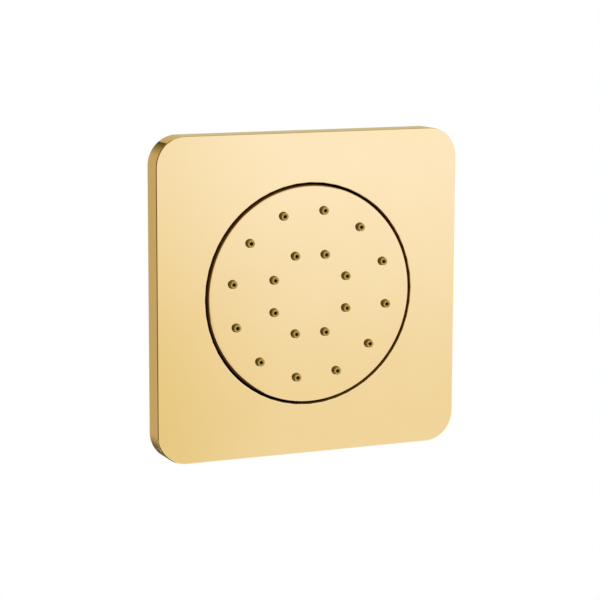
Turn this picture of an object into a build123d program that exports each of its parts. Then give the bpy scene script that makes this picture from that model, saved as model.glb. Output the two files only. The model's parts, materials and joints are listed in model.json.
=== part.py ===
"""Flush wall body spray: a square cover plate with a round spray disc that tilts on a ball joint.

Every piece is drawn with its axis along +Z, the wall at height 0 and the room above it.
At the end the pieces are turned so that the wall is the XZ plane, the disc faces -Y and +Z is up.
"""

import math
import os

from build123d import *

# Driving dimensions, in millimetres and degrees.

# Cover plate
plate_side = 130.0
plate_depth = 10.0
plate_corner_radius = 12.0
plate_front_wall = 2.2
plate_side_wall = 2.2
plate_edge_radius = 0.5
aperture_diameter = 90.0
aperture_edge_radius = 0.3

# Spray disc, which stands a little proud in the plate's aperture
disc_gap = 1.3
disc_proud = 0.4
disc_front_wall = 2.0
disc_skirt_wall = 1.8
disc_edge_radius = 0.4

# Nozzles: two rings of soft nipples that pass through the disc
outer_ring_radius = 34.0
outer_ring_count = 12
outer_ring_start_angle = 20.0
inner_ring_radius = 17.0
inner_ring_count = 8
inner_ring_start_angle = 22.5
nozzle_base_diameter = 4.0
nozzle_tip_diameter = 2.7
nozzle_tip_edge_radius = 0.25
nozzle_bore_diameter = 1.25
nozzle_inlet_diameter = 2.4
nozzle_reach = 1.6
nozzle_hole_clearance = 0.1

# Layers of the spray head behind the disc's front wall
mat_thickness = 1.6
water_plate_thickness = 1.6
water_plate_hole_diameter = 3.0
chamber_height = 2.6
chamber_wall = 1.8
chamber_land = 4.6
chamber_flange_thickness = 2.2
chamber_rib_count = 8
chamber_rib_thickness = 1.4
chamber_rib_height = 1.6
chamber_seal_section = 1.2
chamber_seal_groove_width = 1.8
clamp_ring_thickness = 1.6
clamp_ring_notch_count = 4
clamp_ring_notch_width = 4.0
clamp_ring_notch_depth = 1.4
layer_clearance = 0.15

# Ball joint
ball_diameter = 18.0
tilt_cone_angle = 10.0
port_radius = 5.5
port_margin = 0.5
ball_clearance = 0.03
slip_ring_thickness = 1.0
slip_ring_front = 1.2
slip_ring_back = 5.4
seal_back = 2.5
hub_clearance = 0.05
hub_wall = 3.0
hub_overlap = 1.0
nut_wall = 3.0
nut_depth_behind_ball = 8.5
nut_gap = 0.8
nut_edge_chamfer = 0.8
thread_clearance = 0.05
spanner_clearance = 5.0

# Ball stem and inlet
stem_bore_diameter = 9.0
neck_diameter = 11.6
neck_margin = 0.3
swing_clearance = 1.5
collar_across_flats = 30.0
collar_thickness = 5.0
collar_chamfer = 0.6
shank_diameter = 24.0
inlet_thread_diameter = 20.955
inlet_thread_length = 14.0
inlet_thread_chamfer = 1.0
stem_washer_thickness = 1.5
stem_washer_width = 3.0
lock_washer_thickness = 1.0
lock_washer_width = 3.5
lock_nut_thickness = 6.0
lock_nut_wall = 4.0
lock_nut_chamfer = 0.8
shank_end = 1.0
shank_hole_clearance = 0.3

# Flow regulator and filter, which sit in the inlet's mouth
cartridge_bore_diameter = 16.0
cartridge_clearance = 0.1
regulator_thickness = 5.0
regulator_ring_section = 1.6
regulator_cup_diameter = 10.0
regulator_cup_depth = 2.6
regulator_hole_count = 6
regulator_hole_diameter = 1.6
regulator_hole_circle = 6.4
filter_thickness = 3.0
filter_rim = 1.4
filter_web = 0.8
filter_hole_diameter = 1.1
filter_hole_pitch = 1.7

# Recessed cup in the wall, and the square frame on the wall's face that carries it
cup_wall = 2.2
cup_floor = 3.0
cup_edge_radius = 2.0
cup_lip_width = 1.6
cup_lip_thickness = 1.5
cup_clearance = 0.1
cup_rib_count = 8
cup_rib_thickness = 1.6
cup_rib_height = 2.0
frame_thickness = 3.0
wall_slot_inset = 14.0
wall_slot_width = 5.0
wall_slot_length = 8.0

# Gasket round the inside of the plate's rim
gasket_width = 2.5
gasket_height = 4.0
gasket_gap = 0.3

# Posts on the plate and the spring clips that hold them
post_diameter = 5.0
post_neck_diameter = 3.8
post_neck_margin = 0.15
post_tip_diameter = 3.2
post_tip_height = 0.8
post_spacing = 66.0
post_inset = 6.0
post_hole_clearance = 0.3
clip_thickness = 0.6
clip_length = 11.0
clip_width = 8.0
clip_leg_depth = 2.0
clip_hole_clearance = 0.1
clip_slit_width = 0.5
clip_slit_length = 6.2
clip_slot_clearance = 0.05

# Heights of the spray head's layers, from the disc's face back to the ball
disc_front = plate_depth + disc_proud
disc_back = disc_front - disc_front_wall
mat_back = disc_back - mat_thickness
water_plate_back = mat_back - water_plate_thickness
chamber_flange_back = water_plate_back - chamber_flange_thickness
clamp_ring_back = chamber_flange_back - clamp_ring_thickness
chamber_floor = water_plate_back - chamber_height
chamber_back = chamber_floor - chamber_wall

# Radii of the spray head
disc_radius = aperture_diameter / 2 - disc_gap
skirt_bore_radius = disc_radius - disc_skirt_wall
layer_radius = skirt_bore_radius - layer_clearance
chamber_bore_radius = layer_radius - chamber_land
chamber_cup_radius = chamber_bore_radius + chamber_wall

# Ball joint, seen from the ball's centre
ball_radius = ball_diameter / 2
seat_radius = ball_radius + ball_clearance
slip_ring_radius = seat_radius + slip_ring_thickness
nut_seat_radius = slip_ring_radius + hub_clearance
hub_bore_radius = nut_seat_radius + hub_clearance
hub_radius = hub_bore_radius + hub_wall
nut_flat_radius = hub_radius + nut_wall
nut_corner_radius = nut_flat_radius / math.cos(math.radians(30))
ball_centre = chamber_back - math.sqrt(ball_radius**2 - (port_radius - port_margin) ** 2)
hub_back = ball_centre - hub_overlap
nut_front = chamber_back - nut_gap
nut_back = ball_centre - nut_depth_behind_ball
tilt_sine = math.sin(math.radians(tilt_cone_angle))
tilt_cosine = math.cos(math.radians(tilt_cone_angle))
neck_radius = neck_diameter / 2
nut_mouth_radius = (neck_radius + neck_margin + nut_depth_behind_ball * tilt_sine) / tilt_cosine

# Stem and cup, set by how far the tilted head swings
nut_swing_depth = nut_depth_behind_ball * tilt_cosine + nut_corner_radius * tilt_sine
collar_front = ball_centre - nut_swing_depth - swing_clearance
collar_back = collar_front - collar_thickness
floor_front = collar_back - stem_washer_thickness
floor_back = floor_front - cup_floor
lock_nut_front = floor_back - lock_washer_thickness
lock_nut_back = lock_nut_front - lock_nut_thickness
shank_back = lock_nut_back - shank_end
stem_back = shank_back - inlet_thread_length
shank_radius = shank_diameter / 2
shank_hole_radius = shank_radius + shank_hole_clearance
lock_nut_flat_radius = shank_radius + lock_nut_wall
lock_nut_corner_radius = lock_nut_flat_radius / math.cos(math.radians(30))
disc_swing_radius = disc_radius * tilt_cosine + (disc_front - ball_centre) * tilt_sine
cup_bore_radius = disc_swing_radius + swing_clearance
cup_radius = cup_bore_radius + cup_wall
cup_lip_radius = cup_radius + cup_lip_width
cup_lip_back = frame_thickness - cup_lip_thickness

# Cartridge seat in the inlet
cartridge_radius = cartridge_bore_diameter / 2
cartridge_body_radius = cartridge_radius - cartridge_clearance
cartridge_seat = stem_back + regulator_thickness + filter_thickness + filter_rim

# Square outlines inside the plate
plate_inner_half = plate_side / 2 - plate_side_wall
plate_inner_corner = plate_corner_radius - plate_side_wall
frame_half = plate_inner_half - gasket_width - gasket_gap
frame_corner = plate_inner_corner - gasket_width - gasket_gap
wall_slot_spacing = 2 * (frame_half - wall_slot_inset)
post_row_spacing = 2 * (frame_half - post_inset)
post_neck_radius = post_neck_diameter / 2
post_sites = GridLocations(post_spacing, post_row_spacing, 2, 2)
plate_front_inside = plate_depth - plate_front_wall
clip_top = frame_thickness + clip_thickness


def turned(*points):
    """Solid turned about the axis from a closed outline of (radius, height) points."""
    outline = Plane.XZ * make_face(Polyline(*points, close=True))
    return revolve(outline, Axis.Z)


def ring(outer_radius, inner_radius, low, high):
    """Plain ring between two heights."""
    return turned((inner_radius, low), (outer_radius, low), (outer_radius, high), (inner_radius, high))


def rod(radius, low, high):
    """Plain cylinder between two heights."""
    return Pos(0, 0, (low + high) / 2) * Cylinder(radius, high - low)


def hexagon(across_flats, low, high, chamfer_size):
    """Hexagonal prism with the corners of both ends turned off by a cone, as on a nut."""
    flat_radius = across_flats / 2
    corner_radius = flat_radius / math.cos(math.radians(30))
    prism = Pos(0, 0, low) * extrude(RegularPolygon(corner_radius, 6), high - low)
    blank = rod(corner_radius, low, high)
    return prism & chamfer(blank.edges().filter_by(GeomType.CIRCLE), chamfer_size)


def radial_ribs(count, thickness, inner_radius, outer_radius, base, top):
    """Ribs set like spokes on a flat base, with both ends sloped at 45 degrees."""
    slope = abs(top - base)
    profile = Polyline(
        (inner_radius, base),
        (outer_radius - thickness / 2, base),
        (outer_radius - thickness / 2 - slope, top),
        (inner_radius + slope, top),
        close=True,
    )
    rib = extrude(Plane.XZ * make_face(profile), thickness / 2, both=True)
    return [Rot(0, 0, 360 / count * step) * rib for step in range(count)]


def ball_sphere(radius):
    """Sphere about the ball joint's centre."""
    return Pos(0, 0, ball_centre) * Sphere(radius)


def rounded_square(half, corner):
    """Square outline with rounded corners."""
    return RectangleRounded(2 * half, 2 * half, corner)


def nozzle_sites():
    """Centres of all the nozzles, on two rings."""
    outer = PolarLocations(outer_ring_radius, outer_ring_count, outer_ring_start_angle)
    inner = PolarLocations(inner_ring_radius, inner_ring_count, inner_ring_start_angle)
    return list(outer) + list(inner)


def face_plate():
    """Hollow square cover with a round aperture, and four necked posts cast inside it."""
    shell = extrude(rounded_square(plate_side / 2, plate_corner_radius), plate_depth)
    shell -= extrude(rounded_square(plate_inner_half, plate_inner_corner), plate_front_inside)
    shell = fillet(shell.faces().sort_by(Axis.Z)[-1].edges(), plate_edge_radius)
    shell -= rod(aperture_diameter / 2, plate_front_inside, plate_depth)
    mouth = shell.faces().sort_by(Axis.Z)[-1].inner_wires()[0]
    shell = fillet(mouth.edges(), aperture_edge_radius)
    for site in post_sites:
        shell += site * plate_post()
    return shell


def plate_post():
    """Post with a neck for the spring clip and a tapered tip."""
    neck_top = clip_top + post_neck_margin
    neck_bottom = frame_thickness - post_neck_margin
    tip_bottom = post_tip_height
    return turned(
        (0, tip_bottom),
        (post_tip_diameter / 2, tip_bottom),
        (post_diameter / 2, neck_bottom),
        (post_neck_radius, neck_bottom),
        (post_neck_radius, neck_top),
        (post_diameter / 2, neck_top),
        (post_diameter / 2, plate_front_inside),
        (0, plate_front_inside),
    )


def wall_gasket():
    """Foam strip round the inside of the plate's rim, level with the rim at the wall."""
    outline = rounded_square(plate_inner_half, plate_inner_corner)
    outline -= rounded_square(plate_inner_half - gasket_width, plate_inner_corner - gasket_width)
    return extrude(outline, gasket_height)


def mounting_frame():
    """Square frame on the wall's face, with slots for the wall screws and a stepped seat for the cup."""
    frame = extrude(rounded_square(frame_half, frame_corner), frame_thickness)
    frame -= rod(cup_radius + cup_clearance, 0, frame_thickness)
    frame -= rod(cup_lip_radius + cup_clearance, cup_lip_back, frame_thickness)
    for site in GridLocations(wall_slot_spacing, wall_slot_spacing, 2, 2):
        frame -= site * extrude(SlotOverall(wall_slot_length, wall_slot_width), frame_thickness)
    for site in post_sites:
        frame -= site * rod(post_diameter / 2 + post_hole_clearance, 0, frame_thickness)
        frame -= site * clip_legs(clip_slot_clearance)
    return frame


def recess_cup():
    """Round cup set into the wall, hung by its lip in the frame, with spoke ribs behind its floor."""
    cup = rod(cup_radius, floor_back, frame_thickness)
    cup = fillet(cup.edges().group_by(Axis.Z)[0], cup_edge_radius)
    cup += rod(cup_lip_radius, cup_lip_back, frame_thickness)
    cup += radial_ribs(
        cup_rib_count,
        cup_rib_thickness,
        lock_nut_corner_radius + spanner_clearance,
        cup_radius - cup_edge_radius,
        floor_back,
        floor_back - cup_rib_height,
    )
    cup -= rod(cup_bore_radius, floor_front, frame_thickness)
    return cup - rod(shank_hole_radius, floor_back, floor_front)


def clip_legs(clearance=0.0):
    """The two bent legs of a spring clip, or the slots that take them."""
    thickness = clip_thickness + 2 * clearance
    width = clip_width + 2 * clearance
    depth = clip_leg_depth + clearance
    middle = frame_thickness - depth / 2
    legs = Part()
    for side in (-1, 1):
        offset = side * (clip_length - clip_thickness) / 2
        legs += Pos(offset, 0, middle) * Box(thickness, width, depth)
    return legs


def plate_clips():
    """Four spring clips on the frame, each gripping the neck of a post."""
    grip = extrude(Rectangle(clip_length, clip_width), clip_thickness)
    grip -= rod(post_neck_radius + clip_hole_clearance, 0, clip_thickness)
    for angle in (45, 135):
        grip -= Rot(0, 0, angle) * extrude(Rectangle(clip_slit_length, clip_slit_width), clip_thickness)
    clip = Pos(0, 0, frame_thickness) * grip + clip_legs()
    return Compound(children=[site * clip for site in post_sites])


def ball_stem():
    """Turned brass stem: ball, neck, hexagon collar, shank and inlet thread, bored through."""
    neck_in_ball = ball_centre - ball_radius / 2
    stem = ball_sphere(ball_radius) + rod(neck_radius, collar_front, neck_in_ball)
    stem += hexagon(collar_across_flats, collar_back, collar_front, collar_chamfer)
    stem += turned(
        (0, stem_back),
        (inlet_thread_diameter / 2 - inlet_thread_chamfer, stem_back),
        (inlet_thread_diameter / 2, stem_back + inlet_thread_chamfer),
        (inlet_thread_diameter / 2, shank_back),
        (shank_radius, shank_back),
        (shank_radius, collar_back),
        (0, collar_back),
    )
    stem -= rod(stem_bore_diameter / 2, stem_back, ball_centre + ball_radius)
    stem -= rod(cartridge_radius, stem_back, cartridge_seat)
    return stem


def stem_washer():
    """Rubber washer between the stem's collar and the cup's floor."""
    outer_radius = shank_hole_radius + stem_washer_width
    return ring(outer_radius, shank_hole_radius, floor_front, collar_back)


def lock_washer():
    """Fibre washer under the lock nut."""
    outer_radius = shank_hole_radius + lock_washer_width
    return ring(outer_radius, shank_hole_radius, lock_nut_front, floor_back)


def lock_nut():
    """Hexagon nut that clamps the stem to the cup's floor."""
    nut = hexagon(2 * lock_nut_flat_radius, lock_nut_back, lock_nut_front, lock_nut_chamfer)
    return nut - rod(shank_radius + thread_clearance, lock_nut_back, lock_nut_front)


def flow_regulator():
    """Cartridge with a ring groove, a cup at the inlet side and a circle of metering holes."""
    low = cartridge_seat - regulator_thickness
    middle = cartridge_seat - regulator_thickness / 2
    groove_radius = cartridge_radius - regulator_ring_section
    half_groove = regulator_ring_section / 2 + cartridge_clearance
    body = rod(cartridge_body_radius, low, cartridge_seat)
    body -= ring(cartridge_radius, groove_radius, middle - half_groove, middle + half_groove)
    body -= rod(regulator_cup_diameter / 2, low, low + regulator_cup_depth)
    for site in PolarLocations(regulator_hole_circle / 2, regulator_hole_count):
        body -= site * rod(regulator_hole_diameter / 2, low, cartridge_seat)
    return body


def regulator_ring():
    """Rubber ring in the regulator's groove, against the stem's bore."""
    middle = cartridge_seat - regulator_thickness / 2
    section_radius = regulator_ring_section / 2
    return Pos(0, 0, middle) * Torus(cartridge_radius - section_radius, section_radius)


def filter_screen():
    """Rimmed strainer disc behind the regulator."""
    high = cartridge_seat - regulator_thickness
    low = high - filter_thickness
    screen_radius = cartridge_body_radius - filter_rim
    screen = ring(cartridge_body_radius, screen_radius, low, high)
    web = rod(screen_radius, high - filter_web, high)
    rows = int(screen_radius / filter_hole_pitch)
    reach = screen_radius - filter_hole_diameter
    for site in HexLocations(filter_hole_pitch / 2, 2 * rows + 1, 2 * rows + 1):
        if site.position.length < reach:
            web -= site * rod(filter_hole_diameter / 2, high - filter_web, high)
    return screen + web


def slip_ring():
    """Low-friction liner with spherical faces, between the ball's back and the nut."""
    shell = ball_sphere(slip_ring_radius) - ball_sphere(seat_radius)
    return shell & rod(slip_ring_radius, ball_centre - slip_ring_back, ball_centre - slip_ring_front)


def ball_seal():
    """Rubber seat between the hub's bottom and the front of the ball."""
    blank = ring(hub_bore_radius - hub_clearance, port_radius, ball_centre + seal_back, chamber_back)
    return blank - ball_sphere(seat_radius)


def spray_face():
    """Round disc with a deep skirt, drilled for the nozzles."""
    disc = rod(disc_radius, clamp_ring_back, disc_front)
    disc = fillet(disc.edges().group_by(Axis.Z)[-1], disc_edge_radius)
    disc -= rod(skirt_bore_radius, clamp_ring_back, disc_back)
    hole_radius = nozzle_base_diameter / 2 + nozzle_hole_clearance
    for site in nozzle_sites():
        disc -= site * rod(hole_radius, disc_back, disc_front)
    return disc


def nozzle_mat():
    """Soft mat behind the disc, with one nipple for each nozzle."""
    mat = rod(layer_radius, mat_back, disc_back)
    base_radius = nozzle_base_diameter / 2
    tip_radius = nozzle_tip_diameter / 2
    tip = disc_front + nozzle_reach
    nipple = rod(base_radius, disc_back, disc_front)
    cone = Pos(0, 0, disc_front + nozzle_reach / 2) * Cone(base_radius, tip_radius, nozzle_reach)
    nipple += fillet(cone.edges().group_by(Axis.Z)[-1], nozzle_tip_edge_radius)
    inlet_radius = nozzle_inlet_diameter / 2
    bore_radius = nozzle_bore_diameter / 2
    passage = turned(
        (0, mat_back),
        (inlet_radius, mat_back),
        (inlet_radius, disc_back),
        (bore_radius, disc_front),
        (bore_radius, tip),
        (0, tip),
    )
    sites = nozzle_sites()
    mat += [site * nipple for site in sites]
    mat -= [site * passage for site in sites]
    return mat


def water_plate():
    """Stiff plate that backs the mat, with a hole behind each nozzle."""
    plate = rod(layer_radius, water_plate_back, mat_back)
    hole_radius = water_plate_hole_diameter / 2
    plate -= [site * rod(hole_radius, water_plate_back, mat_back) for site in nozzle_sites()]
    return plate


def chamber_groove_radius():
    """Middle of the seal groove in the chamber's land."""
    return (chamber_bore_radius + layer_radius) / 2


def chamber_shell():
    """Back shell of the spray head: flange, shallow ribbed cup and the hub that holds the ball."""
    groove_middle = chamber_groove_radius()
    groove_half = chamber_seal_groove_width / 2
    shell = turned(
        (port_radius, chamber_back),
        (hub_bore_radius, chamber_back),
        (hub_bore_radius, hub_back),
        (hub_radius, hub_back),
        (hub_radius, chamber_back),
        (chamber_cup_radius, chamber_back),
        (chamber_cup_radius, chamber_flange_back),
        (layer_radius, chamber_flange_back),
        (layer_radius, water_plate_back),
        (chamber_bore_radius, water_plate_back),
        (chamber_bore_radius, chamber_floor),
        (port_radius, chamber_floor),
    )
    groove_bottom = water_plate_back - chamber_seal_section
    groove = ring(groove_middle + groove_half, groove_middle - groove_half, groove_bottom, water_plate_back)
    shell -= groove
    shell += radial_ribs(
        chamber_rib_count,
        chamber_rib_thickness,
        nut_corner_radius + spanner_clearance,
        chamber_cup_radius,
        chamber_back,
        chamber_back - chamber_rib_height,
    )
    return shell


def chamber_seal():
    """Rubber ring in the chamber's land, against the water plate."""
    section_radius = chamber_seal_section / 2
    return Pos(0, 0, water_plate_back - section_radius) * Torus(chamber_groove_radius(), section_radius)


def clamp_ring():
    """Threaded ring in the disc's skirt that clamps the layers, notched for a spanner."""
    inner_radius = chamber_cup_radius + layer_clearance
    outer_radius = skirt_bore_radius - thread_clearance
    clamp = ring(outer_radius, inner_radius, clamp_ring_back, chamber_flange_back)
    notch_middle = clamp_ring_back + clamp_ring_thickness / 2
    notch = Box(2 * clamp_ring_notch_depth, clamp_ring_notch_width, clamp_ring_thickness)
    for site in PolarLocations(inner_radius, clamp_ring_notch_count):
        clamp -= Pos(0, 0, notch_middle) * site * notch
    return clamp


def ball_nut():
    """Hexagon nut on the hub, with a spherical seat and a wide mouth for the neck."""
    nut = hexagon(2 * nut_flat_radius, nut_back, nut_front, nut_edge_chamfer)
    nut -= rod(hub_radius + thread_clearance, hub_back, nut_front)
    nut -= ball_sphere(nut_seat_radius)
    return nut - rod(nut_mouth_radius, nut_back, ball_centre)


pieces = {
    "face_plate": face_plate,
    "wall_gasket": wall_gasket,
    "mounting_frame": mounting_frame,
    "recess_cup": recess_cup,
    "plate_clips": plate_clips,
    "ball_stem": ball_stem,
    "stem_washer": stem_washer,
    "lock_washer": lock_washer,
    "lock_nut": lock_nut,
    "flow_regulator": flow_regulator,
    "regulator_ring": regulator_ring,
    "filter_screen": filter_screen,
    "slip_ring": slip_ring,
    "ball_seal": ball_seal,
    "spray_face": spray_face,
    "nozzle_mat": nozzle_mat,
    "water_plate": water_plate,
    "chamber_shell": chamber_shell,
    "chamber_seal": chamber_seal,
    "clamp_ring": clamp_ring,
    "ball_nut": ball_nut,
}

# The drawing axis +Z becomes -Y, out of the wall, and the drawing's +Y becomes up.
face_the_room = Rot(90, 0, 0)

os.makedirs("parts", exist_ok=True)
for name, make in pieces.items():
    export_step(face_the_room * make(), f"parts/{name}.step")
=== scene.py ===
import json
import math

import bmesh
import bpy
from mathutils import Matrix, Vector


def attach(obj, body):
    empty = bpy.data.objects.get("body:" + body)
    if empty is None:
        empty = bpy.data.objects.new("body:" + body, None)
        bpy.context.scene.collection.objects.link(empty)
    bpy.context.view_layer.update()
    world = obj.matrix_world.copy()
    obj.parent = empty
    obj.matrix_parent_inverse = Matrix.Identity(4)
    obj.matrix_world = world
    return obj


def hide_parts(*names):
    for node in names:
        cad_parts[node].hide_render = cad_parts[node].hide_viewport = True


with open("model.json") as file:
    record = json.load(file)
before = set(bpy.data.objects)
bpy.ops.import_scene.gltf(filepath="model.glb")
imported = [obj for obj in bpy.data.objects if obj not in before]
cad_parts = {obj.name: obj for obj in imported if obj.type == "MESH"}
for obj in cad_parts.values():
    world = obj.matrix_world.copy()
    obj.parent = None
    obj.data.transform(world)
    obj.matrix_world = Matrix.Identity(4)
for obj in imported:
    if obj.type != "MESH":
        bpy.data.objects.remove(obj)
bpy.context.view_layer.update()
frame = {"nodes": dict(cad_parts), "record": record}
cadNodes = frame["nodes"]
mm = 0.001  # sizes below are in millimetres, depth is along Y and grows into the wall
print("frame loaded with", len(cadNodes), "nodes")


# mesh tools

def circle(bm, radius, depth, segments, at=(0.0, 0.0)):
    verts = []
    for k in range(segments):
        angle = 2 * math.pi * k / segments
        x = at[0] + radius * math.cos(angle)
        z = at[1] + radius * math.sin(angle)
        verts.append(bm.verts.new((x * mm, depth * mm, z * mm)))
    return verts


def skin(bm, rings, closed=False, satinShadeBands=()):
    # bands of faces from ring to ring; those listed take the piece's second finish, an unpolished gold
    # darkened with painted shade for the gap
    pairs = list(zip(rings, rings[1:]))
    if closed:
        pairs.append((rings[-1], rings[0]))
    for band, (one, two) in enumerate(pairs):
        count = len(one)
        for k in range(count):
            n = (k + 1) % count
            face = bm.faces.new((one[k], one[n], two[n], two[k]))
            face.material_index = int(band in satinShadeBands)


def lathe(bm, section, segments, at=(0.0, 0.0), satinShadeBands=()):
    rings = [circle(bm, radius, depth, segments, at) for radius, depth in section]
    skin(bm, rings, satinShadeBands=satinShadeBands)
    return rings


def fillFlat(bm, rings):
    edges = []
    for ring in rings:
        for k, vert in enumerate(ring):
            other = ring[(k + 1) % len(ring)]
            edges.append(bm.edges.get((vert, other)) or bm.edges.new((vert, other)))
    bmesh.ops.triangle_fill(bm, use_beauty=True, use_dissolve=False, edges=edges)


def arc(centre, radius, startDeg, endDeg, steps):
    points = []
    for k in range(steps + 1):
        angle = math.radians(startDeg + (endDeg - startDeg) * k / steps)
        points.append((centre[0] + radius * math.cos(angle), centre[1] + radius * math.sin(angle)))
    return points


def makePiece(name, bm, body, replaced, sharpDeg=38):
    bmesh.ops.recalc_face_normals(bm, faces=bm.faces)
    for face in bm.faces:
        face.smooth = True
    for edge in bm.edges:
        if len(edge.link_faces) == 2:
            edge.smooth = edge.calc_face_angle(0) < math.radians(sharpDeg)
    mesh = bpy.data.meshes.new(name)
    bm.to_mesh(mesh)
    bm.free()
    piece = bpy.data.objects.new(name, mesh)
    bpy.context.scene.collection.objects.link(piece)
    # normals weighted by area keep the flats even in reflections
    shading = piece.modifiers.new("faceWeights", "WEIGHTED_NORMAL")
    shading.keep_sharp = True
    shading.weight = 100
    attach(piece, body)
    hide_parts(*replaced)
    print("made", name, len(mesh.polygons), "faces")
    return piece


# cover plate: a hollow rounded square with a round mouth, and four necked posts inside

plate = {
    "half": 65.0,
    "corner": 12.0,
    "depth": 10.0,
    "edge": 0.45,
    "edgeSteps": 8,
    "rimEdge": 0.2,
    "rimSteps": 3,
    "wall": 2.2,
    "frontWall": 2.2,
    "mouth": 44.88,
    "mouthEdge": 0.45,
    "mouthSteps": 6,
    "insideEdge": 0.8,
    "insideSteps": 4,
    "cornerSteps": 28,
    "sideSteps": 12,
    "post": {
        "x": 33.0, "z": 54.0, "radius": 2.5, "neck": 1.9, "tip": 1.6,
        "tipDepth": -0.8, "neckBack": -2.85, "neckFront": -3.75, "segments": 24,
    },
}


def squareLoop(inset):
    half = plate["half"] - inset
    corner = plate["corner"] - inset
    inner = half - corner
    points = []
    for quarter in range(4):
        turn = Matrix.Rotation(quarter * math.pi / 2, 2)
        for k in range(plate["cornerSteps"] + 1):
            angle = math.pi / 2 * k / plate["cornerSteps"]
            x = inner + corner * math.cos(angle)
            y = inner + corner * math.sin(angle)
            points.append(turn @ Vector((x, y)))
        for k in range(1, plate["sideSteps"]):
            points.append(turn @ Vector((inner - 2 * inner * k / plate["sideSteps"], half)))
    return points


def squareRing(bm, inset, depth):
    return [bm.verts.new((p.x * mm, depth * mm, p.y * mm)) for p in squareLoop(inset)]


def mouthRing(bm, radius, depth):
    verts = []
    for p in squareLoop(0.0):
        spot = p.normalized() * radius  # same bearings as the square, so the face stays clean
        verts.append(bm.verts.new((spot.x * mm, depth * mm, spot.y * mm)))
    return verts


def buildPlate():
    bm = bmesh.new()
    front = -plate["depth"]
    inside = front + plate["frontWall"]
    rim = plate["rimEdge"]
    edge = plate["edge"]
    rings = []
    for inset, depth in arc((rim, -rim), rim, 90, 180, plate["rimSteps"]):
        rings.append(squareRing(bm, inset, depth))
    for inset, depth in arc((edge, front + edge), edge, 180, 270, plate["edgeSteps"]):
        rings.append(squareRing(bm, inset, depth))
    mouth = plate["mouth"]
    soft = plate["mouthEdge"]
    for radius, depth in arc((mouth + soft, front + soft), soft, 270, 180, plate["mouthSteps"]):
        rings.append(mouthRing(bm, radius, depth))
    mouthWall = len(rings) - 1
    rings.append(mouthRing(bm, mouth, inside))
    wall = plate["wall"]
    fillet = plate["insideEdge"]
    for inset, depth in arc((wall + fillet, inside + fillet), fillet, 270, 180, plate["insideSteps"]):
        rings.append(squareRing(bm, inset, depth))
    for inset, depth in arc((wall - rim, -rim), rim, 0, 90, plate["rimSteps"]):
        rings.append(squareRing(bm, inset, depth))
    skin(bm, rings, closed=True, satinShadeBands=[mouthWall])
    post = plate["post"]
    section = [
        (post["tip"], post["tipDepth"]),
        (post["radius"], post["neckBack"]),
        (post["neck"], post["neckBack"]),
        (post["neck"], post["neckFront"]),
        (post["radius"], post["neckFront"]),
        (post["radius"], inside),
    ]
    for sx in (-1, 1):
        for sz in (-1, 1):
            rings = lathe(bm, section, post["segments"], (sx * post["x"], sz * post["z"]))
            bm.faces.new(rings[0])
            bm.faces.new(rings[-1])
    return makePiece("coverPlate", bm, "wall_unit", ["face_plate"])


# nozzle places, shared by the disc and the soft mat

nozzles = {
    "outer": {"radius": 34.0, "count": 12, "start": 20.0},
    "inner": {"radius": 17.0, "count": 8, "start": 22.5},
    "base": 1.65,
    "tip": 1.58,
    "bore": 0.72,
    "reach": 1.6,
    "footDepth": 0.25,  # the straight foot ends this far behind the disc's face
    "step": 0.03,  # then the wall steps in by this much
    "stepRise": 0.05,  # up to this far in front of the face
    "wallShare": 0.84,  # and tapers over this share of the reach
    "wallSteps": 5,
    "taper": 0.9,  # share of the slope from base to tip
    "tipRound": [(0.06, 0.12), (0.16, 0.03), (0.28, 0.0)],  # in from the wall, and back from the tip
    "boreRound": [(0.16, 0.0), (0.05, 0.05), (0.0, 0.16)],  # out from the bore, and back from the tip
    "segments": 40,
}


def nozzleSites():
    sites = []
    for row in (nozzles["outer"], nozzles["inner"]):
        for k in range(row["count"]):
            angle = math.radians(row["start"] + 360 * k / row["count"])
            sites.append((row["radius"] * math.cos(angle), row["radius"] * math.sin(angle)))
    return sites


# spray disc: a drilled cap with a deep skirt

disc = {
    "radius": 43.88,
    "front": -10.4,
    "inside": -8.4,
    "skirtBack": -1.4,
    "skirtBore": 41.9,
    "skirtEdge": 0.2,
    "skirtSteps": 3,
    "edge": 0.9,
    "edgeSteps": 10,
    "hole": 1.68,
    "holeChamfer": 0.06,
    "holeBulge": 0.3,  # share of the chamfer where its middle lies, so it is a little round
    "land": 0.3,  # a narrow flat round each edge keeps the face even in reflections
    "segments": 240,
}


def buildDisc():
    bm = bmesh.new()
    radius = disc["radius"]
    front = disc["front"]
    edge = disc["edge"]
    edgeSteps = disc["edgeSteps"]
    land = disc["land"]
    back = disc["skirtBack"]
    bore = disc["skirtBore"]
    skirt = disc["skirtEdge"]
    section = [(radius - edge - land, front)]
    section += arc((radius - edge, front + edge), edge, 270, 360, edgeSteps)
    section += arc((radius - skirt, back - skirt), skirt, 0, 90, disc["skirtSteps"])
    section += arc((bore + skirt, back - skirt), skirt, 90, 180, disc["skirtSteps"])
    section.append((bore, disc["inside"]))
    # these bands take the unpolished gold with painted shade of the gap
    satinShadeBands = range(edgeSteps // 2 + 1, edgeSteps + 2)  # the lower half of the edge, and the skirt
    rings = lathe(bm, section, disc["segments"], satinShadeBands=satinShadeBands)
    fronts = [rings[0]]
    backs = [rings[-1]]
    hole = disc["hole"]
    soft = disc["holeChamfer"]
    bulge = soft * disc["holeBulge"]
    holeSection = [
        (hole + soft + land, front),
        (hole + soft, front),
        (hole + bulge, front + bulge),
        (hole, front + soft),
        (hole, disc["inside"]),
    ]
    for site in nozzleSites():
        rings = lathe(bm, holeSection, nozzles["segments"], site)
        fronts.append(rings[0])
        backs.append(rings[-1])
    fillFlat(bm, fronts)
    fillFlat(bm, backs)
    return makePiece("sprayDisc", bm, "spray_head", ["spray_face"])


# soft mat with one nipple for each nozzle

mat = {"radius": 41.75, "front": -8.4, "back": -6.8, "inlet": 1.2, "segments": 160}


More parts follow.
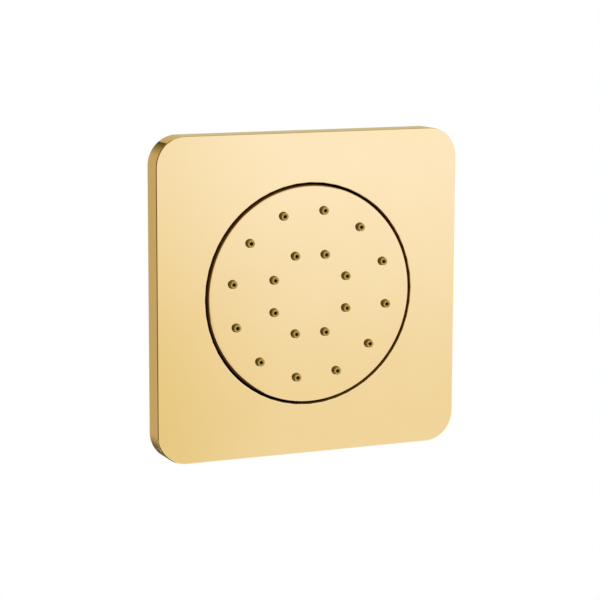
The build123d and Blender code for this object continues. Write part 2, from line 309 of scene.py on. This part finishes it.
def buildMat():
    bm = bmesh.new()
    face = disc["front"]
    reach = nozzles["reach"]
    tipDepth = face - reach
    base = nozzles["base"]
    bore = nozzles["bore"]
    step = nozzles["step"]
    slope = (base - nozzles["tip"]) / reach
    nipple = [
        (base, mat["front"]),
        (base, face + nozzles["footDepth"]),
        (base - step, face - nozzles["stepRise"]),
    ]
    for k in range(1, nozzles["wallSteps"] + 1):
        down = reach * nozzles["wallShare"] * k / nozzles["wallSteps"]
        nipple.append((base - step - slope * down * nozzles["taper"], face - down))
    wall = nipple[-1][0]
    nipple += [(wall - inward, tipDepth + back) for inward, back in nozzles["tipRound"]]
    nipple += [(bore + outward, tipDepth + back) for outward, back in nozzles["boreRound"]]
    nipple += [(bore, face), (mat["inlet"], mat["front"]), (mat["inlet"], mat["back"])]
    rim = lathe(bm, [(mat["radius"], mat["front"]), (mat["radius"], mat["back"])], mat["segments"])
    fronts = [rim[0]]
    backs = [rim[1]]
    for site in nozzleSites():
        rings = lathe(bm, nipple, nozzles["segments"], site)
        fronts.append(rings[0])
        backs.append(rings[-1])
    fillFlat(bm, fronts)
    fillFlat(bm, backs)
    return makePiece("nozzleMat", bm, "spray_head", ["nozzle_mat"], sharpDeg=50)


# ball stem with a cut pipe thread at the inlet

stem = {
    "ball": 9.0,
    "ballCentre": 6.6833,
    "ballSteps": 32,
    "bore": 4.5,
    "neck": 5.8,
    "neckFillet": 0.8,
    "neckSteps": 4,
    "collarFront": 19.788,
    "collarBack": 24.788,
    "collarFlat": 15.0,
    "collarFace": 13.2,
    "collarChamfer": 0.6,
    "shank": 12.0,
    "shankBack": 37.288,
    "shankChamfer": 0.5,
    "end": 51.288,
    "seat": 41.888,
    "cartridge": 8.0,
    "cartridgeChamfer": 0.4,
    "threadTop": 10.4775,
    "threadDeep": 1.162,
    "pitch": 1.814,
    "rootFlat": 0.14,  # share of the half pitch that is flat in the root
    "flank": 0.72,  # and share that slopes
    "flankRound": 0.35,  # 0 for straight flanks, 1 for round ones
    "runIn": 1.2,  # length over which the first turn rises
    "endSlope": 1.1,  # rise of the lead chamfer at the inlet
    "rowsPerPitch": 18,
    "segments": 96,
}


def hexRadius(angle, flat):
    return flat / math.cos(angle % (math.pi / 3) - math.pi / 6)


def shapedRing(bm, depth, radiusAt):
    verts = []
    for k in range(stem["segments"]):
        angle = 2 * math.pi * k / stem["segments"]
        radius = radiusAt(angle)
        x = radius * math.cos(angle)
        z = radius * math.sin(angle)
        verts.append(bm.verts.new((x * mm, depth * mm, z * mm)))
    return verts


def hexRings(bm, flat, front, back, chamfer):
    corner = flat / math.cos(math.pi / 6)
    half = chamfer / 2
    rings = []
    for depth, limit in (
        (front, corner - chamfer), (front + half, corner - half), (front + chamfer, corner),
        (back - chamfer, corner), (back - half, corner - half), (back, corner - chamfer),
    ):
        rings.append(shapedRing(bm, depth, lambda angle: min(limit, hexRadius(angle, flat))))
    return rings


def threadRadius(angle, depth):
    start = stem["shankBack"]
    root = stem["threadTop"] - stem["threadDeep"]
    phase = ((depth - start) / stem["pitch"] - angle / (2 * math.pi)) % 1.0
    flank = abs(phase - 0.5) * 2  # 1 on the crest, 0 in the root
    cut = 1 - min(1.0, max(0.0, (flank - stem["rootFlat"]) / stem["flank"]))
    curved = cut * cut * (3 - 2 * cut)
    cut = curved * stem["flankRound"] + cut * (1 - stem["flankRound"])
    fade = min(1.0, (depth - start) / stem["runIn"])
    radius = stem["threadTop"] - stem["threadDeep"] * (1 - (1 - cut) * fade)
    return min(radius, root + (stem["end"] - depth) * stem["endSlope"])


def buildStem():
    bm = bmesh.new()
    bore = stem["bore"]
    ball = stem["ball"]
    shank = stem["shank"]
    shankBack = stem["shankBack"]
    front = stem["collarFront"]
    back = stem["collarBack"]
    rings = []

    def turned(radius, depth):
        rings.append(circle(bm, radius, depth, stem["segments"]))

    startDeg = math.degrees(math.asin(bore / ball))
    endDeg = 180 - math.degrees(math.asin(stem["neck"] / ball))
    for k in range(stem["ballSteps"] + 1):
        polar = math.radians(startDeg + (endDeg - startDeg) * k / stem["ballSteps"])
        turned(ball * math.sin(polar), stem["ballCentre"] - ball * math.cos(polar))
    fillet = stem["neckFillet"]
    for radius, depth in arc((stem["neck"] + fillet, front - fillet), fillet, 180, 90, stem["neckSteps"]):
        turned(radius, depth)
    turned(stem["collarFace"], front)
    rings += hexRings(bm, stem["collarFlat"], front, back, stem["collarChamfer"])
    turned(shank, back)
    turned(shank, shankBack - stem["shankChamfer"])
    turned(shank - stem["shankChamfer"], shankBack)
    length = stem["end"] - shankBack
    count = int(length / stem["pitch"] * stem["rowsPerPitch"])
    for k in range(count + 1):
        depth = shankBack + length * k / count
        rings.append(shapedRing(bm, depth, lambda angle: threadRadius(angle, depth)))
    turned(stem["cartridge"] + stem["cartridgeChamfer"], stem["end"])
    turned(stem["cartridge"], stem["end"] - stem["cartridgeChamfer"])
    turned(stem["cartridge"], stem["seat"])
    turned(bore, stem["seat"])
    skin(bm, rings, closed=True)
    print("thread cut in", count, "rows")
    return makePiece("threadedStem", bm, "wall_unit", ["ball_stem"], sharpDeg=44)


coverPlate = buildPlate()
sprayDisc = buildDisc()
nozzleMat = buildMat()
threadedStem = buildStem()


# shared surface effects, each one a node group

def newGroup(name, inputs, outputs):
    tree = bpy.data.node_groups.new(name, "ShaderNodeTree")
    for label, kind, value in inputs:
        socket = tree.interface.new_socket(name=label, in_out="INPUT", socket_type=kind)
        socket.default_value = value
    for label, kind in outputs:
        tree.interface.new_socket(name=label, in_out="OUTPUT", socket_type=kind)
    return tree, tree.nodes.new("NodeGroupInput"), tree.nodes.new("NodeGroupOutput")


def addNode(tree, kind, **settings):
    node = tree.nodes.new(kind)
    for key, value in settings.items():
        setattr(node, key, value)
    return node


def surfaceMarks():
    # soft smudges for the gloss, and fine hairlines for the bump
    tree, inside, outside = newGroup("surfaceMarks", [
        ("Smudge Scale", "NodeSocketFloat", 60.0),
        ("Low Roughness", "NodeSocketFloat", 0.08),
        ("High Roughness", "NodeSocketFloat", 0.14),
        ("Hairline Scale", "NodeSocketFloat", 900.0),
    ], [
        ("Roughness", "NodeSocketFloat"),
        ("Height", "NodeSocketFloat"),
        ("Mask", "NodeSocketFloat"),
    ])
    place = addNode(tree, "ShaderNodeTexCoord")
    smudge = addNode(tree, "ShaderNodeTexNoise")
    smudge.inputs["Detail"].default_value = 4.0
    spread = addNode(tree, "ShaderNodeMapRange")
    spread.inputs["From Min"].default_value = 0.35
    spread.inputs["From Max"].default_value = 0.68
    stretch = addNode(tree, "ShaderNodeMapping")
    stretch.inputs["Scale"].default_value = (1.0, 1.0, 0.04)
    stretch.inputs["Rotation"].default_value = (0.0, math.radians(8), 0.0)
    hairs = addNode(tree, "ShaderNodeTexNoise")
    hairs.inputs["Detail"].default_value = 3.0
    link = tree.links.new
    link(place.outputs["Object"], smudge.inputs["Vector"])
    link(inside.outputs["Smudge Scale"], smudge.inputs["Scale"])
    link(smudge.outputs["Fac"], spread.inputs["Value"])
    link(inside.outputs["Low Roughness"], spread.inputs["To Min"])
    link(inside.outputs["High Roughness"], spread.inputs["To Max"])
    link(place.outputs["Object"], stretch.inputs["Vector"])
    link(stretch.outputs["Vector"], hairs.inputs["Vector"])
    link(inside.outputs["Hairline Scale"], hairs.inputs["Scale"])
    link(spread.outputs["Result"], outside.inputs["Roughness"])
    link(hairs.outputs["Fac"], outside.inputs["Height"])
    link(smudge.outputs["Fac"], outside.inputs["Mask"])
    return tree


def mouldGrain():
    # fine moulded grain with cloudy tone and gloss
    tree, inside, outside = newGroup("mouldGrain", [
        ("Dark", "NodeSocketColor", (0.02, 0.02, 0.02, 1)),
        ("Light", "NodeSocketColor", (0.05, 0.05, 0.05, 1)),
        ("Cloud Scale", "NodeSocketFloat", 40.0),
        ("Grain Scale", "NodeSocketFloat", 2200.0),
        ("Low Roughness", "NodeSocketFloat", 0.42),
        ("High Roughness", "NodeSocketFloat", 0.6),
    ], [
        ("Color", "NodeSocketColor"),
        ("Roughness", "NodeSocketFloat"),
        ("Height", "NodeSocketFloat"),
    ])
    place = addNode(tree, "ShaderNodeTexCoord")
    cloud = addNode(tree, "ShaderNodeTexNoise")
    cloud.inputs["Detail"].default_value = 5.0
    grain = addNode(tree, "ShaderNodeTexNoise")
    grain.inputs["Detail"].default_value = 2.0
    tone = addNode(tree, "ShaderNodeMix", data_type="RGBA")
    gloss = addNode(tree, "ShaderNodeMapRange")
    gloss.inputs["From Min"].default_value = 0.3
    gloss.inputs["From Max"].default_value = 0.7
    link = tree.links.new
    link(place.outputs["Object"], cloud.inputs["Vector"])
    link(place.outputs["Object"], grain.inputs["Vector"])
    link(inside.outputs["Cloud Scale"], cloud.inputs["Scale"])
    link(inside.outputs["Grain Scale"], grain.inputs["Scale"])
    link(cloud.outputs["Fac"], tone.inputs["Factor"])
    link(inside.outputs["Dark"], tone.inputs["A"])
    link(inside.outputs["Light"], tone.inputs["B"])
    link(cloud.outputs["Fac"], gloss.inputs["Value"])
    link(inside.outputs["Low Roughness"], gloss.inputs["To Min"])
    link(inside.outputs["High Roughness"], gloss.inputs["To Max"])
    link(tone.outputs["Result"], outside.inputs["Color"])
    link(gloss.outputs["Result"], outside.inputs["Roughness"])
    link(grain.outputs["Fac"], outside.inputs["Height"])
    return tree


marksGroup = surfaceMarks()
grainGroup = mouldGrain()


def newMaterial(name):
    material = bpy.data.materials.new(name)
    material.use_nodes = True
    tree = material.node_tree
    return material, tree, tree.nodes["Principled BSDF"]


def addGroup(tree, group, values):
    node = tree.nodes.new("ShaderNodeGroup")
    node.node_tree = group
    for label, value in values.items():
        node.inputs[label].default_value = value
    return node


def addBump(tree, shader, height, strength, distance):
    bump = tree.nodes.new("ShaderNodeBump")
    bump.inputs["Strength"].default_value = strength
    bump.inputs["Distance"].default_value = distance
    tree.links.new(height, bump.inputs["Height"])
    tree.links.new(bump.outputs["Normal"], shader.inputs["Normal"])


# metal finishes

markHeight = 0.02 * mm  # of the hairlines on metal, before their strength
grainHeight = 0.1 * mm  # and of the grain on mouldings

goldLook = {
    "deep": (0.91, 0.69, 0.350, 1),
    "pale": (0.94, 0.725, 0.385, 1),
    "metallic": 1.0,
    "marks": {
        "Smudge Scale": 45.0, "Low Roughness": 0.055, "High Roughness": 0.085, "Hairline Scale": 700.0,
    },
    "hairline": 0.012,
}


def metalMaterial(name, look):
    material, tree, shader = newMaterial(name)
    marks = addGroup(tree, marksGroup, look["marks"])
    tone = addNode(tree, "ShaderNodeMix", data_type="RGBA")
    tone.inputs["A"].default_value = look["deep"]
    tone.inputs["B"].default_value = look["pale"]
    tree.links.new(marks.outputs["Mask"], tone.inputs["Factor"])
    tree.links.new(tone.outputs["Result"], shader.inputs["Base Color"])
    tree.links.new(marks.outputs["Roughness"], shader.inputs["Roughness"])
    shader.inputs["Metallic"].default_value = look["metallic"]
    addBump(tree, shader, marks.outputs["Height"], look["hairline"], markHeight)
    return material


unpolished = {
    "Smudge Scale": 90.0, "Low Roughness": 0.5, "High Roughness": 0.65, "Hairline Scale": 1800.0,
}

# unpolished gold whose dark gold-brown tone is painted shade for the narrow gap round the disc
mouthShadedLook = {  # wall of the plate's mouth, seen in the gap round the disc
    "deep": (0.27, 0.13, 0.012, 1),
    "pale": (0.32, 0.16, 0.017, 1),
    "metallic": 0.1,
    "marks": unpolished,
    "hairline": 0.08,
}

# deeper painted shade still, as the skirt lies further into the gap
skirtShadedLook = {  # the disc's skirt and the lower half of its edge, darker still
    "deep": (0.14, 0.063, 0.005, 1),
    "pale": (0.17, 0.08, 0.008, 1),
    "metallic": 0.1,
    "marks": unpolished,
    "hairline": 0.08,
}

brassLook = {
    "deep": (0.62, 0.42, 0.17, 1),
    "pale": (0.76, 0.56, 0.26, 1),
    "metallic": 1.0,
    "marks": {
        "Smudge Scale": 120.0, "Low Roughness": 0.2, "High Roughness": 0.36, "Hairline Scale": 2500.0,
    },
    "hairline": 0.25,
}

steelLook = {
    "deep": (0.50, 0.50, 0.50, 1),
    "pale": (0.64, 0.64, 0.63, 1),
    "metallic": 1.0,
    "marks": {
        "Smudge Scale": 150.0, "Low Roughness": 0.2, "High Roughness": 0.34, "Hairline Scale": 3000.0,
    },
    "hairline": 0.2,
}

# moulded and rubber finishes

plasticLooks = {
    "softNozzle": {
        "grain": {
            "Dark": (0.35, 0.24, 0.036, 1), "Light": (0.41, 0.285, 0.053, 1), "Cloud Scale": 300.0,
            "Grain Scale": 6000.0, "Low Roughness": 0.36, "High Roughness": 0.5,
        },
        "bump": 0.05,
        # painted shade on the nipples' sides, by the way each face turns
        "side": {"tone": (0.24, 0.14, 0.002, 1), "normalY": (-0.3, -0.8)},  # from side to tip
    },
    "cupPlastic": {
        "grain": {
            "Dark": (0.030, 0.031, 0.033, 1), "Light": (0.048, 0.049, 0.052, 1), "Cloud Scale": 40.0,
            "Grain Scale": 2600.0, "Low Roughness": 0.4, "High Roughness": 0.58,
        },
        "bump": 0.18,
    },
    "headPlastic": {
        "grain": {
            "Dark": (0.036, 0.036, 0.036, 1), "Light": (0.055, 0.055, 0.055, 1), "Cloud Scale": 60.0,
            "Grain Scale": 2600.0, "Low Roughness": 0.4, "High Roughness": 0.55,
        },
        "bump": 0.15,
    },
    "whitePlastic": {
        "grain": {
            "Dark": (0.60, 0.60, 0.57, 1), "Light": (0.72, 0.72, 0.70, 1), "Cloud Scale": 80.0,
            "Grain Scale": 3000.0, "Low Roughness": 0.35, "High Roughness": 0.5,
        },
        "bump": 0.1,
    },
    "cartridgePlastic": {
        "grain": {
            "Dark": (0.035, 0.10, 0.24, 1), "Light": (0.05, 0.14, 0.32, 1), "Cloud Scale": 120.0,
            "Grain Scale": 4000.0, "Low Roughness": 0.3, "High Roughness": 0.45,
        },
        "bump": 0.08,
    },
    "sealRubber": {
        "grain": {
            "Dark": (0.010, 0.010, 0.010, 1), "Light": (0.022, 0.022, 0.021, 1), "Cloud Scale": 150.0,
            "Grain Scale": 5000.0, "Low Roughness": 0.55, "High Roughness": 0.75,
        },
        "bump": 0.15,
    },
    "gasketFoam": {
        "grain": {
            "Dark": (0.014, 0.014, 0.014, 1), "Light": (0.042, 0.042, 0.042, 1), "Cloud Scale": 220.0,
            "Grain Scale": 1500.0, "Low Roughness": 0.8, "High Roughness": 0.95,
        },
        "bump": 0.6,
    },
    "washerFibre": {
        "grain": {
            "Dark": (0.16, 0.030, 0.018, 1), "Light": (0.26, 0.060, 0.034, 1), "Cloud Scale": 400.0,
            "Grain Scale": 3500.0, "Low Roughness": 0.7, "High Roughness": 0.88,
        },
        "bump": 0.3,
    },
}


def paintShadeOnSides(tree, shader, color, side):
    # painted shade: the sides of the nipples are made deeper in tone than their tips, which face out of
    # the wall, to stand for the shade on their sides
    place = addNode(tree, "ShaderNodeTexCoord")
    facing = addNode(tree, "ShaderNodeSeparateXYZ")
    tree.links.new(place.outputs["Normal"], facing.inputs["Vector"])
    tip = addNode(tree, "ShaderNodeMapRange")
    tip.inputs["From Min"].default_value = side["normalY"][0]
    tip.inputs["From Max"].default_value = side["normalY"][1]
    tree.links.new(facing.outputs["Y"], tip.inputs["Value"])
    tone = addNode(tree, "ShaderNodeMix", data_type="RGBA")
    tone.inputs["A"].default_value = side["tone"]
    tree.links.new(color, tone.inputs["B"])
    tree.links.new(tip.outputs["Result"], tone.inputs["Factor"])
    tree.links.new(tone.outputs["Result"], shader.inputs["Base Color"])


def plasticMaterial(name, look):
    material, tree, shader = newMaterial(name)
    grain = addGroup(tree, grainGroup, look["grain"])
    tree.links.new(grain.outputs["Color"], shader.inputs["Base Color"])
    tree.links.new(grain.outputs["Roughness"], shader.inputs["Roughness"])
    addBump(tree, shader, grain.outputs["Height"], look["bump"], grainHeight)
    # the nozzle rubber gets painted shade on its sides
    if "side" in look:
        paintShadeOnSides(tree, shader, grain.outputs["Color"], look["side"])
    return material


gold = metalMaterial("polishedGold", goldLook)
mouthShadedGold = metalMaterial("mouthShadedGold", mouthShadedLook)
skirtShadedGold = metalMaterial("skirtShadedGold", skirtShadedLook)
brass = metalMaterial("turnedBrass", brassLook)
steel = metalMaterial("springSteel", steelLook)
plastics = {name: plasticMaterial(name, look) for name, look in plasticLooks.items()}

finishOf = {
    "gold": gold,
    "nozzle_rubber": plastics["softNozzle"],
    "gasket_foam": plastics["gasketFoam"],
    "housing_plastic": plastics["cupPlastic"],
    "spring_steel": steel,
    "stem_brass": brass,
    "nut_plastic": plastics["whitePlastic"],
    "seal_rubber": plastics["sealRubber"],
    "washer_fibre": plastics["washerFibre"],
    "cartridge_plastic": plastics["cartridgePlastic"],
    "filter_steel": steel,
    "liner_plastic": plastics["whitePlastic"],
    "head_plastic": plastics["headPlastic"],
}


def dress(piece, *materials):
    slots = piece.data.materials
    for k, material in enumerate(materials):
        if k < len(slots):
            slots[k] = material
        else:
            slots.append(material)


for part in frame["record"]["subparts"]:
    dress(cadNodes[part["node"]], finishOf[part["material_slot"]])
# the mouth wall and the disc's skirt take gold darkened with painted shade for the gap
dress(coverPlate, gold, mouthShadedGold)
dress(sprayDisc, gold, skirtShadedGold)
dress(nozzleMat, plastics["softNozzle"])
dress(threadedStem, brass)


# stage: pale floor, white surroundings, reflector cards and lamps

stage = {
    "floorHeight": -0.6,
    "floorSize": 2.4,
    "floorColor": (0.92, 0.92, 0.92, 1),
    "floorGlow": 0.86,  # share that is plain white to view, the rest is matt and keeps the shadow
    "floorFade": (0.5, 1.15),  # distance over which the floor melts into the surroundings
    "fillLow": 0.02,
    "fillHigh": 0.5,
    "fillFrom": (0.55, -0.65, 0.52),
    "fillSpread": (-0.2, 0.9),
}


def whiteToView(tree):
    # 1 where the ray comes from the camera, a gloss or glass, which see plain white surroundings
    path = addNode(tree, "ShaderNodeLightPath")
    first = addNode(tree, "ShaderNodeMath", operation="MAXIMUM")
    second = addNode(tree, "ShaderNodeMath", operation="MAXIMUM")
    tree.links.new(path.outputs["Is Camera Ray"], first.inputs[0])
    tree.links.new(path.outputs["Is Glossy Ray"], first.inputs[1])
    tree.links.new(first.outputs["Value"], second.inputs[0])
    tree.links.new(path.outputs["Is Transmission Ray"], second.inputs[1])
    return second.outputs["Value"]


def buildWorld():
    world = bpy.data.worlds.new("whiteStudio")
    world.use_nodes = True
    tree = world.node_tree
    tree.nodes.clear()
    seen = addNode(tree, "ShaderNodeBackground")
    seen.inputs["Color"].default_value = (1, 1, 1, 1)
    fill = addNode(tree, "ShaderNodeBackground")  # soft light, stronger from the right, front and above
    place = addNode(tree, "ShaderNodeTexCoord")
    toward = addNode(tree, "ShaderNodeVectorMath", operation="DOT_PRODUCT")
    toward.inputs[1].default_value = stage["fillFrom"]
    level = addNode(tree, "ShaderNodeMapRange", interpolation_type="SMOOTHSTEP")
    level.inputs["From Min"].default_value = stage["fillSpread"][0]
    level.inputs["From Max"].default_value = stage["fillSpread"][1]
    level.inputs["To Min"].default_value = stage["fillLow"]
    level.inputs["To Max"].default_value = stage["fillHigh"]
    mix = addNode(tree, "ShaderNodeMixShader")
    out = addNode(tree, "ShaderNodeOutputWorld")
    tree.links.new(place.outputs["Generated"], toward.inputs[0])
    tree.links.new(toward.outputs["Value"], level.inputs["Value"])
    tree.links.new(level.outputs["Result"], fill.inputs["Strength"])
    tree.links.new(whiteToView(tree), mix.inputs["Fac"])
    tree.links.new(fill.outputs["Background"], mix.inputs[1])
    tree.links.new(seen.outputs["Background"], mix.inputs[2])
    tree.links.new(mix.outputs["Shader"], out.inputs["Surface"])
    bpy.context.scene.world = world


def addSheet(name, width, height):
    mesh = bpy.data.meshes.new(name)
    x = width / 2
    y = height / 2
    mesh.from_pydata([(-x, -y, 0), (x, -y, 0), (x, y, 0), (-x, y, 0)], [], [(0, 1, 2, 3)])
    sheet = bpy.data.objects.new(name, mesh)
    bpy.context.scene.collection.objects.link(sheet)
    material = bpy.data.materials.new(name)
    material.use_nodes = True
    material.node_tree.nodes.clear()
    mesh.materials.append(material)
    return sheet, material.node_tree


def buildFloor():
    floor, tree = addSheet("paleFloor", stage["floorSize"], stage["floorSize"])
    floor.location.z = stage["floorHeight"]
    matt = addNode(tree, "ShaderNodeBsdfDiffuse")
    matt.inputs["Color"].default_value = stage["floorColor"]
    white = addNode(tree, "ShaderNodeEmission")
    share = addNode(tree, "ShaderNodeMath", operation="MULTIPLY")
    place = addNode(tree, "ShaderNodeTexCoord")
    away = addNode(tree, "ShaderNodeVectorMath", operation="LENGTH")
    fade = addNode(tree, "ShaderNodeMapRange", interpolation_type="SMOOTHSTEP")
    fade.inputs["From Min"].default_value = stage["floorFade"][0]
    fade.inputs["From Max"].default_value = stage["floorFade"][1]
    fade.inputs["To Min"].default_value = stage["floorGlow"]
    mix = addNode(tree, "ShaderNodeMixShader")
    out = addNode(tree, "ShaderNodeOutputMaterial")
    tree.links.new(place.outputs["Object"], away.inputs[0])
    tree.links.new(away.outputs["Value"], fade.inputs["Value"])
    tree.links.new(whiteToView(tree), share.inputs[0])
    tree.links.new(fade.outputs["Result"], share.inputs[1])
    tree.links.new(share.outputs["Value"], mix.inputs["Fac"])
    tree.links.new(matt.outputs["BSDF"], mix.inputs[1])
    tree.links.new(white.outputs["Emission"], mix.inputs[2])
    tree.links.new(mix.outputs["Shader"], out.inputs["Surface"])


# cards that only the polished metal sees

frontCard = {
    "toward": (0.40, -0.90, -0.16),
    "distance": 1.3,
    "size": 1.4,
    "low": (0.852, 0.785, 0.516, 1),
    "high": (1.07, 1.13, 1.38, 1),
    "across": (-0.208, -0.005, 0.42),  # from, to and weight of the tone's rise to the right
    "upward": (-0.134, 0.183, 0.62),  # and of its rise to the top
}

rearCard = {
    "depth": 1.5,
    "size": (2.4, 3.0),
    "tones": [  # place round the ring, from the left through below, right and above
        (0.00, (0.60, 0.49, 0.27)), (0.10, (0.58, 0.47, 0.25)), (0.17, (0.34, 0.28, 0.10)),
        (0.22, (0.13, 0.10, 0.02)), (0.31, (0.13, 0.10, 0.02)), (0.37, (0.55, 0.48, 0.30)),
        (0.52, (0.62, 0.57, 0.35)), (0.70, (0.60, 0.50, 0.27)), (0.764, (0.60, 0.49, 0.26)),
        (0.768, (0.07, 0.055, 0.01)), (0.81, (0.18, 0.15, 0.03)), (0.91, (0.58, 0.47, 0.25)),
    ],
}

standing = (90, 0, 90)
lying = (0, 0, 0)

flags = {  # dark and middle-toned sheets that give the edges and the gap their contrast
    "leftFlag": {
        "at": (-1.2, 0.3, 0.0), "size": (2.4, 4.0), "turn": standing, "tone": (0.05, 0.036, 0.007),
    },
    "sideFlag": {
        "at": (-1.2, -2.1, 0.0), "size": (2.4, 4.0), "turn": standing, "tone": (0.42, 0.35, 0.20),
    },
    "lowFlag": {
        "at": (-0.615, -0.05, -0.58), "size": (1.17, 1.3), "turn": lying, "tone": (0.05, 0.036, 0.007),
    },
    "upperFlag": {
        "at": (-0.75, -0.2, 1.38), "size": (0.9, 2.0), "turn": lying, "tone": (0.12, 0.09, 0.03),
    },
    "topFlag": {
        "at": (0.3, -0.1, 1.4), "size": (2.0, 1.8), "turn": lying, "tone": (0.45, 0.40, 0.30),
    },
}


def glossOnly(card):
    for rays in ("visible_camera", "visible_diffuse", "visible_transmission", "visible_shadow"):
        setattr(card, rays, False)


def addGlow(tree):
    glow = addNode(tree, "ShaderNodeEmission")
    out = addNode(tree, "ShaderNodeOutputMaterial")
    tree.links.new(glow.outputs["Emission"], out.inputs["Surface"])
    return glow


def buildFrontCard():
    card, tree = addSheet("frontCard", frontCard["size"], frontCard["size"])
    glossOnly(card)
    direction = Vector(frontCard["toward"]).normalized()
    card.location = direction * frontCard["distance"]
    card.rotation_euler = direction.to_track_quat("Z", "Y").to_euler()
    place = addNode(tree, "ShaderNodeTexCoord")
    axes = addNode(tree, "ShaderNodeSeparateXYZ")
    total = addNode(tree, "ShaderNodeMath", operation="ADD", use_clamp=True)
    tree.links.new(place.outputs["Object"], axes.inputs["Vector"])
    for k, rise in enumerate((frontCard["across"], frontCard["upward"])):
        step = addNode(tree, "ShaderNodeMapRange", interpolation_type="SMOOTHSTEP")
        step.inputs["From Min"].default_value = rise[0]
        step.inputs["From Max"].default_value = rise[1]
        step.inputs["To Max"].default_value = rise[2]
        tree.links.new(axes.outputs[k], step.inputs["Value"])
        tree.links.new(step.outputs["Result"], total.inputs[k])
    tone = addNode(tree, "ShaderNodeMix", data_type="RGBA")
    tone.inputs["A"].default_value = frontCard["low"]
    tone.inputs["B"].default_value = frontCard["high"]
    tree.links.new(total.outputs["Value"], tone.inputs["Factor"])
    tree.links.new(tone.outputs["Result"], addGlow(tree).inputs["Color"])


def buildRearCard():
    card, tree = addSheet("rearCard", *rearCard["size"])
    glossOnly(card)
    card.location = (0, rearCard["depth"], 0)
    card.rotation_euler = (math.pi / 2, 0, 0)
    place = addNode(tree, "ShaderNodeTexCoord")
    bearing = addNode(tree, "ShaderNodeTexGradient", gradient_type="RADIAL")
    ramp = addNode(tree, "ShaderNodeValToRGB")
    stops = ramp.color_ramp.elements
    while len(stops) > 1:
        stops.remove(stops[-1])
    for k, (position, color) in enumerate(rearCard["tones"]):
        stop = stops[0] if k == 0 else stops.new(position)
        stop.position = position
        stop.color = (*color, 1)
    last = stops.new(1.0)
    last.color = (*rearCard["tones"][0][1], 1)
    tree.links.new(place.outputs["Object"], bearing.inputs["Vector"])
    tree.links.new(bearing.outputs["Fac"], ramp.inputs["Fac"])
    tree.links.new(ramp.outputs["Color"], addGlow(tree).inputs["Color"])


def buildFlag(name, look):
    card, tree = addSheet(name, *look["size"])
    glossOnly(card)
    card.location = look["at"]
    card.rotation_euler = [math.radians(angle) for angle in look["turn"]]
    addGlow(tree).inputs["Color"].default_value = (*look["tone"], 1)


lamps = {
    "keySoftbox": {"at": (0.45, -1.75, 0.7), "size": 1.5, "watts": 30},
    "backSoftbox": {"at": (-0.6, 1.6, 1.2), "size": 1.4, "watts": 26},
}


def buildLamp(name, look):
    data = bpy.data.lights.new(name, "AREA")
    data.shape = "SQUARE"
    data.size = look["size"]
    data.energy = look["watts"]
    lamp = bpy.data.objects.new(name, data)
    bpy.context.scene.collection.objects.link(lamp)
    lamp.location = look["at"]
    lamp.rotation_euler = (-Vector(look["at"])).to_track_quat("-Z", "Y").to_euler()
    lamp.visible_camera = False
    lamp.visible_glossy = False


buildWorld()
buildFloor()
buildFrontCard()
buildRearCard()
for name, look in flags.items():
    buildFlag(name, look)
for name, look in lamps.items():
    buildLamp(name, look)
print("stage built with", len(flags) + 2, "cards and", len(lamps), "lamps")


# camera at the photograph's station

view = {
    "at": (-0.35506, -0.80635, 0.14072),
    "right": (0.91535, -0.40265, 0.00297),
    "down": (-0.06254, -0.14949, -0.98678),
    "forward": (0.39778, 0.90306, -0.16202),
    "lens": 132.23,
    "sensor": 36,
    "clip": (0.01, 100),
}


def buildCamera():
    data = bpy.data.cameras.new("photoView")
    data.lens = view["lens"]
    data.sensor_width = view["sensor"]
    data.clip_start, data.clip_end = view["clip"]
    camera = bpy.data.objects.new("photoView", data)
    bpy.context.scene.collection.objects.link(camera)
    right = Vector(view["right"])
    up = -Vector(view["down"])
    back = -Vector(view["forward"])
    turn = Matrix((right, up, back)).transposed().to_4x4()
    camera.matrix_world = Matrix.Translation(view["at"]) @ turn
    bpy.context.scene.camera = camera


buildCamera()
bpy.context.scene.view_settings.view_transform = "Standard"
